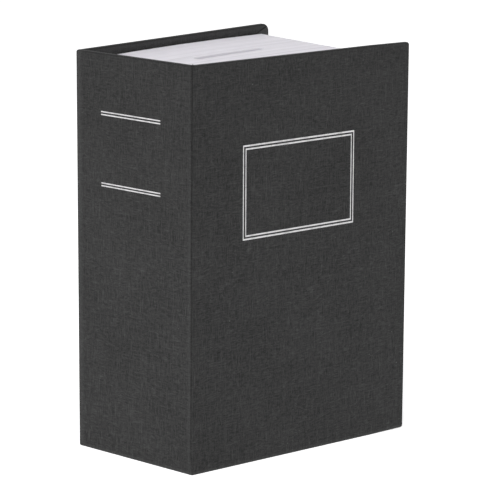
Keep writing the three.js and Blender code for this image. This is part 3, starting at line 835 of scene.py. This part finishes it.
class ClothSheet:
    """A sheet of cloth built up from rows of points over the head, the foot and the corners.

    A point is (vertex, its place on the cloth, its place on the fore edge's turn-in).
    """

    def __init__(self, line, run_sign):
        self.line = line
        self.run_sign = run_sign
        self.work = bmesh.new()
        self.cloth_uv = self.work.loops.layers.uv.new(CLOTH_UV)
        self.board_uv = self.work.loops.layers.uv.new(BOARD_UV)
        self.wear = self.work.verts.layers.float.new(FOLD_TURN)

    def point(self, plan, z, depth, on_cover, on_fore=None):
        """A new point of the sheet."""
        made = self.work.verts.new(placed(plan.x, plan.y, z))
        made[self.wear] = min(1.0, depth / PANEL * 2) if depth < PANEL else ON_INNER_SIDE
        return made, on_cover, on_fore

    def edge_row(self, station, side, section):
        """A row of points over the head or the foot at one station."""
        edge = CASE_HEIGHT + station.rise if side == HEAD else 0.0
        outer = station.outer if side == HEAD else station.foot
        base = edge - side * FOLD_RIM
        return [
            self.point(
                outer.lerp(station.inner, depth / PANEL), edge - side * inset, depth,
                (station.run, base + side * travelled),
            )
            for inset, depth, travelled in section
        ]

    def corner_row(self, turn, side, section, radius_outside, sag, rim_run):
        """A row of points round a cover's corner, at a turn from its fore edge."""
        row = []
        for inset, depth, travelled in section:
            radius = max(radius_outside - inset, SMALLEST_RADIUS)
            distance = COVER_RUN - inset - radius + radius * math.cos(turn)
            from_end = sag + inset + radius - radius * math.sin(turn)
            z = CASE_HEIGHT - from_end if side == HEAD else from_end
            base = CASE_HEIGHT - FOLD_RIM if side == HEAD else FOLD_RIM
            row.append(self.point(
                self.line.at(distance, depth), z, depth,
                (rim_run + distance - COVER_RUN + FOLD_RIM, base + side * travelled),
                (rim_run + travelled, z),
            ))
        return row

    def face(self, points, outward, on_fore=False):
        """A face over points, in this order where it faces outwards."""
        ordered = points if outward else points[::-1]
        made = self.work.faces.new([point[0] for point in ordered])
        for loop, point in zip(made.loops, ordered):
            run, up = point[2] if on_fore else point[1]
            loop[self.cloth_uv].uv = (self.run_sign * run, up)

    def lay_on_board(self):
        """Gives each face its place on the board: mm from the fore edge and mm up."""
        hinge = placed(self.line.start.x, self.line.start.y, 0.0)
        for made in self.work.faces:
            for loop in made.loops:
                place = loop.vert.co
                reach = (place - hinge).xy.dot(self.line.along) / MM
                loop[self.board_uv].uv = (COVER_RUN - reach, place.z / MM)

    def piece(self, name):
        """The sheet as an object."""
        bmesh.ops.remove_doubles(self.work, verts=self.work.verts, dist=1e-7)
        self.lay_on_board()
        mesh = bpy.data.meshes.new(name)
        self.work.to_mesh(mesh)
        self.work.free()
        made = bpy.data.objects.new(name, mesh)
        bpy.context.scene.collection.objects.link(made)
        return made


def cloth_object(name, stations, line, run_sign, corner, settings):
    """The cloth round one stretch of the case, as one sheet folded over its boards.

    The corner is its radius and how far it has worn down from the head and the foot.
    """
    sheet = ClothSheet(line, run_sign)
    section = fold(settings)
    rim_run = stations[-1].run + CORNER_RUN - FOLD_RIM
    rows = {}
    for side in (FOOT, HEAD):
        rows[side] = [sheet.edge_row(station, side, section) for station in stations]
        for step in range(CORNER_STEPS + 1):
            turn = math.pi / 2 * (1 - step / CORNER_STEPS)
            rows[side].append(sheet.corner_row(turn, side, section, *corner, rim_run))

    outward = run_sign > 0
    middle = len(stations) + CORNER_STEPS // 2
    for side in (FOOT, HEAD):
        for index, (row, after) in enumerate(zip(rows[side], rows[side][1:])):
            for points in zip(row, row[1:], after[1:], after):
                sheet.face(points, outward == (side == FOOT), index >= middle)
    foot, head = rows[FOOT], rows[HEAD]
    for points in zip(foot[-1], foot[-1][1:], head[-1][1:], head[-1]):
        sheet.face(points, outward, True)
    for index, around in enumerate(zip(foot, foot[1:], head[1:], head)):
        sheet.face([row[0] for row in around], outward)
        if index + 1 < len(stations) and stations[index].lined and stations[index + 1].lined:
            sheet.face([row[-1] for row in around], not outward)

    piece = sheet.piece(name)
    solid = piece.modifiers.new("Cloth", "SOLIDIFY")
    solid.thickness = settings.thickness * MM
    solid.offset = -1
    apply_all_modifiers(piece)
    smooth(piece, 40.0)
    dress(piece, finish(dark_linen))
    return piece


class BOOK_OT_front_cloth(Operator):
    """Covers the front board and the joint beside it in book cloth"""

    bl_idname = "book.front_cloth"
    bl_label = "Front cover cloth"

    def execute(self, context):
        settings = context.scene.book_cloth
        line = Line(HINGE, HINGE, -AJAR, (-math.sin(AJAR), -math.cos(AJAR)))
        stations = stations_of(
            FRONT_SPINE_ROWS, (HINGE, HINGE), line, settings.lining, settings.front_groove,
            settings.joint_rise, settings.front_bulge,
        )
        corner = (settings.front_corner, settings.corner_sag)
        piece = cloth_object("front_cloth", stations, line, 1, corner, settings)
        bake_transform(piece)
        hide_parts("front_covering")
        return {"FINISHED"}


class BOOK_OT_case_cloth(Operator):
    """Covers the spine and the back board in book cloth"""

    bl_idname = "book.case_cloth"
    bl_label = "Spine and back cloth"

    def execute(self, context):
        settings = context.scene.book_cloth
        far = CASE_THICKNESS - HINGE
        line = Line(HINGE, far, 0.0, (0.0, 1.0))
        stations = stations_of(
            BACK_SPINE_ROWS, (HINGE, far), line, settings.lining, -settings.back_bulge
        )
        corner = (settings.back_corner, 0.0)
        piece = cloth_object("case_cloth", stations, line, -1, corner, settings)
        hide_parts("back_covering", "spine_covering")
        ride(piece, "case")
        return {"FINISHED"}


# Foil


def foil_strip(reach, low, high, line_width=None):
    """A thin flat strip that faces the front, or a frame if it has a line width."""
    settings = bpy.context.scene.book_foil
    bpy.ops.mesh.primitive_plane_add(
        size=1, location=(0, 0, (low + high) / 2 * MM), rotation=(math.pi / 2, 0, 0)
    )
    piece = bpy.context.object
    piece.scale = (2 * reach * MM, (high - low) * MM, 1)
    apply_place(piece)
    bpy.ops.object.mode_set(mode="EDIT")
    bpy.ops.mesh.select_all(action="SELECT")
    if line_width:
        upright = line_width * settings.upright_share
        height = high - low
        stretch = (height - 2 * line_width) / (height - 2 * upright)
        bpy.ops.mesh.inset(thickness=upright * MM)
        bpy.ops.transform.resize(value=(1, 1, stretch))
        bpy.ops.mesh.delete(type="FACE")
        bpy.ops.mesh.select_all(action="SELECT")
    bpy.ops.object.mode_set(mode="OBJECT")
    solid = piece.modifiers.new("Foil", "SOLIDIFY")
    solid.thickness = settings.height * MM
    solid.offset = 1
    bevel = piece.modifiers.new("Soft edge", "BEVEL")
    bevel.width = settings.height * 0.45 * MM
    bevel.segments = 2
    apply_all_modifiers(piece)
    return piece


def laid_foil(strips, name, place, body):
    """Strips as one piece, laid at their place on the book, which moves with a body."""
    select_only(*strips)
    bpy.ops.object.join()
    piece = bpy.context.object
    piece.name = name
    piece.data.name = name
    piece.matrix_world = place
    apply_place(piece)
    dress(piece, finish(stamped_foil))
    smooth(piece)
    ride(piece, body)


class BOOK_OT_foil(Operator):
    """Stamps the double frame on the front cover and the double rules across the spine"""

    bl_idname = "book.foil"
    bl_label = "Foil rules"

    def execute(self, context):
        settings = context.scene.book_foil
        select_only()
        frames = [
            foil_strip(reach, -half, half, line)
            for (reach, half), line in (
                (OUTER_FRAME, settings.outer_line), (INNER_FRAME, settings.inner_line)
            )
        ]
        across, up = FRAME_MIDDLE
        on_cover = Matrix.Translation(((across - HINGE) * MM, -HINGE * MM, up * MM))
        hinge = Matrix.Translation(placed(HINGE, HINGE, 0.0))
        ajar = Matrix.Rotation(-AJAR, 4, "Z")
        tilt = Matrix.Rotation(-FRAME_TILT, 4, "Y")
        laid_foil(frames, "front_foil", hinge @ ajar @ on_cover @ tilt, "front_cover")

        half = settings.spine_line / 2
        rules = [foil_strip(SPINE_RULE_REACH, z - half, z + half) for z in SPINE_RULES]
        turn = Matrix.Rotation(-math.pi / 2, 4, "Z")
        on_spine = Matrix.Translation(placed(0.0, SPINE_MIDDLE, 0.0))
        laid_foil(rules, "spine_foil", on_spine @ turn, "case")
        return {"FINISHED"}


# Boards, papers and pages


class BOOK_OT_boards(Operator):
    """Finishes the boards and the endpapers"""

    bl_idname = "book.boards"
    bl_label = "Boards and endpapers"

    def execute(self, context):
        cloth = context.scene.book_cloth
        edge = context.scene.book_pages.board_edge
        for node, name, body, corner in (
            ("front_board", "front_pulp", "front_cover", cloth.front_corner),
            ("back_board", "back_pulp", "case", cloth.back_corner),
        ):
            under_cloth = max(corner - cloth.thickness, SMALLEST_RADIUS)
            piece = refined(node, name, edge, finish(pulp_board), under_cloth)
            ride(piece, body)
        dress(frame["nodes"]["spine_board"], finish(pulp_board))
        for node in ("front_endpaper", "back_endpaper"):
            dress(frame["nodes"][node], finish(endpaper_stock))
        return {"FINISHED"}


class BOOK_OT_pages(Operator):
    """Finishes the moulded page block with softened edges and page lines"""

    bl_idname = "book.pages"
    bl_label = "Page block"

    def execute(self, context):
        refine_all(
            context.scene.book_pages.edge,
            ("page_block", "page_moulding", moulded_pages, "case", "page_plastic"),
        )
        return {"FINISHED"}


# Box, hinge and lock


class BOOK_OT_box(Operator):
    """Finishes the strongbox and its lid in powder coat"""

    bl_idname = "book.box"
    bl_label = "Strongbox and lid"

    def execute(self, context):
        refine_all(
            context.scene.book_metal.edge,
            ("strongbox", "steel_box", powder_coat, "case", "box_steel"),
            ("lid", "steel_lid", powder_coat, "lid", "box_steel"),
        )
        return {"FINISHED"}


class BOOK_OT_hinge(Operator):
    """Finishes the two rolled leaves and the pin"""

    bl_idname = "book.hinge"
    bl_label = "Lid hinge"

    def execute(self, context):
        refine_all(
            context.scene.book_metal.edge / 2,
            ("box_hinge_leaf", "box_leaf", zinc_plate, "case", "plain_steel"),
            ("hinge_pin", "pin", zinc_plate, "case", "plain_steel"),
            ("lid_hinge_leaf", "lid_leaf", zinc_plate, "lid", "plain_steel"),
        )
        return {"FINISHED"}


class BOOK_OT_lock(Operator):
    """Finishes the cam lock: housing, washer, nut, plug, stop washer, cam and screw"""

    bl_idname = "book.lock"
    bl_label = "Cam lock"

    def execute(self, context):
        refine_all(
            context.scene.book_metal.edge,
            ("lock_housing", "housing", lock_plate, "lid", "lock_chrome"),
            ("lock_washer", "washer", zinc_plate, "lid", "plain_steel"),
            ("lock_nut", "nut", zinc_plate, "lid", "plain_steel"),
            ("lock_plug", "plug", lock_plate, "lock_core", "lock_chrome"),
            ("cam_stop_washer", "stop", zinc_plate, "lock_core", "plain_steel"),
            ("lock_cam", "cam", zinc_plate, "lock_core", "plain_steel"),
            ("cam_screw", "screw", zinc_plate, "lock_core", "plain_steel"),
        )
        return {"FINISHED"}


# Stage


def aimed_camera(lens):
    """The camera at its place, turned by its azimuth, elevation and roll."""
    bpy.ops.object.camera_add()
    camera = bpy.context.object
    azimuth, elevation, roll = CAMERA_TURN
    camera.matrix_world = (
        Matrix.Translation(placed(*CAMERA_PLACE))
        @ Matrix.Rotation(azimuth, 4, "Z")
        @ Matrix.Rotation(math.pi / 2 - elevation, 4, "X")
        @ Matrix.Rotation(roll, 4, "Z")
    )
    camera.data.sensor_width = SENSOR_WIDTH
    camera.data.lens = lens
    camera.data.clip_start = 0.05
    camera.data.clip_end = 20.0
    return camera


def lamp(name, place, width, strength):
    """A square soft lamp aimed at the book."""
    bpy.ops.object.light_add(type="AREA", location=place)
    made = bpy.context.object
    made.name = name
    made.data.shape = "SQUARE"
    made.data.size = width
    made.data.energy = strength
    aim = Vector(LAMP_TARGET) - Vector(place)
    made.rotation_euler = aim.to_track_quat("-Z", "Y").to_euler()


def seen_rays(tree):
    """1 for rays that show the stage: to the camera, in a reflection or through a clear piece."""
    path = tree.nodes.new("ShaderNodeLightPath")
    total = path.outputs["Is Camera Ray"]
    for kind in ("Is Glossy Ray", "Is Transmission Ray"):
        either = tree.nodes.new("ShaderNodeMath")
        either.operation = "MAXIMUM"
        tree.links.new(total, either.inputs[0])
        tree.links.new(path.outputs[kind], either.inputs[1])
        total = either.outputs[0]
    return total


def pale_floor(nodes):
    """A pale matte floor, lifted to white for the camera and kept shaded under the book."""
    settings = bpy.context.scene.book_stage
    nodes.set(Base_Color=settings.floor_colour, Roughness=0.9, Specular_IOR_Level=0.1)
    glow = nodes.add("ShaderNodeEmission")
    nodes.give(WHITE, glow.inputs["Color"])
    nodes.give(FLOOR_GLOW, glow.inputs["Strength"])
    lifted = nodes.add("ShaderNodeAddShader")
    nodes.give(nodes.shader.outputs[0], lifted.inputs[0])
    nodes.give(glow.outputs[0], lifted.inputs[1])
    shown = nodes.add("ShaderNodeMixShader")
    nodes.give(seen_rays(nodes.tree), shown.inputs["Fac"])
    nodes.give(nodes.shader.outputs[0], shown.inputs[1])
    nodes.give(lifted.outputs[0], shown.inputs[2])
    nodes.give(shown.outputs[0], nodes.tree.nodes["Material Output"].inputs["Surface"])


def white_room(strength):
    """A world that lights evenly at a strength and is seen as white."""
    world = bpy.data.worlds.new("room")
    world.use_nodes = True
    tree = world.node_tree
    light = tree.nodes["Background"]
    seen = tree.nodes.new("ShaderNodeBackground")
    for background, level in ((light, strength), (seen, 1.0)):
        background.inputs["Color"].default_value = (*WHITE, 1.0)
        background.inputs["Strength"].default_value = level
    mixed = tree.nodes.new("ShaderNodeMixShader")
    tree.links.new(seen_rays(tree), mixed.inputs["Fac"])
    tree.links.new(light.outputs[0], mixed.inputs[1])
    tree.links.new(seen.outputs[0], mixed.inputs[2])
    tree.links.new(mixed.outputs[0], tree.nodes["World Output"].inputs["Surface"])
    return world


class BOOK_OT_stage(Operator):
    """Sets the camera, the pale floor and the soft lamps"""

    bl_idname = "book.stage"
    bl_label = "Camera and stage"

    def execute(self, context):
        settings = context.scene.book_stage
        scene = context.scene
        select_only()
        scene.camera = aimed_camera(settings.lens)
        bpy.ops.mesh.primitive_plane_add(size=FLOOR_SIZE, location=(0.0, 0.0, 0.0))
        floor = context.object
        floor.name = "floor"
        dress(floor, finish(pale_floor))
        for name, place, width, strength in LAMPS:
            lamp(name, place, width, getattr(settings, strength))
        scene.world = white_room(settings.room)
        scene.view_settings.view_transform = "Standard"
        return {"FINISHED"}


# Panel and registration

STEPS = (
    BOOK_OT_stage,
    BOOK_OT_front_cloth,
    BOOK_OT_case_cloth,
    BOOK_OT_foil,
    BOOK_OT_boards,
    BOOK_OT_pages,
    BOOK_OT_box,
    BOOK_OT_hinge,
    BOOK_OT_lock,
)

SETTINGS = {
    "book_cloth": BookClothSettings,
    "book_foil": FoilSettings,
    "book_pages": PageSettings,
    "book_metal": MetalSettings,
    "book_stage": StageSettings,
}


class BOOK_PT_panel(Panel):
    """The pieces of the book safe"""

    bl_idname = "BOOK_PT_panel"
    bl_label = "Book safe"
    bl_space_type = "VIEW_3D"
    bl_region_type = "UI"
    bl_category = "Book safe"

    def draw(self, context):
        for step in STEPS:
            self.layout.operator(step.bl_idname)
        for name, group in SETTINGS.items():
            box = self.layout.box()
            for key in group.__annotations__:
                box.prop(getattr(context.scene, name), key)


def register():
    """Adds the settings, the operators and the panel."""
    for name, group in SETTINGS.items():
        bpy.utils.register_class(group)
        setattr(bpy.types.Scene, name, PointerProperty(type=group))
    for step in STEPS:
        bpy.utils.register_class(step)
    bpy.utils.register_class(BOOK_PT_panel)


def unregister():
    """Takes them away again."""
    bpy.utils.unregister_class(BOOK_PT_panel)
    for step in reversed(STEPS):
        bpy.utils.unregister_class(step)
    for name, group in SETTINGS.items():
        delattr(bpy.types.Scene, name)
        bpy.utils.unregister_class(group)


def main():
    """Builds every piece in order."""
    register()
    bpy.ops.book.stage()
    bpy.ops.book.front_cloth()
    bpy.ops.book.case_cloth()
    bpy.ops.book.foil()
    bpy.ops.book.boards()
    bpy.ops.book.pages()
    bpy.ops.book.box()
    bpy.ops.book.hinge()
    bpy.ops.book.lock()


if __name__ == "__main__":
    main()
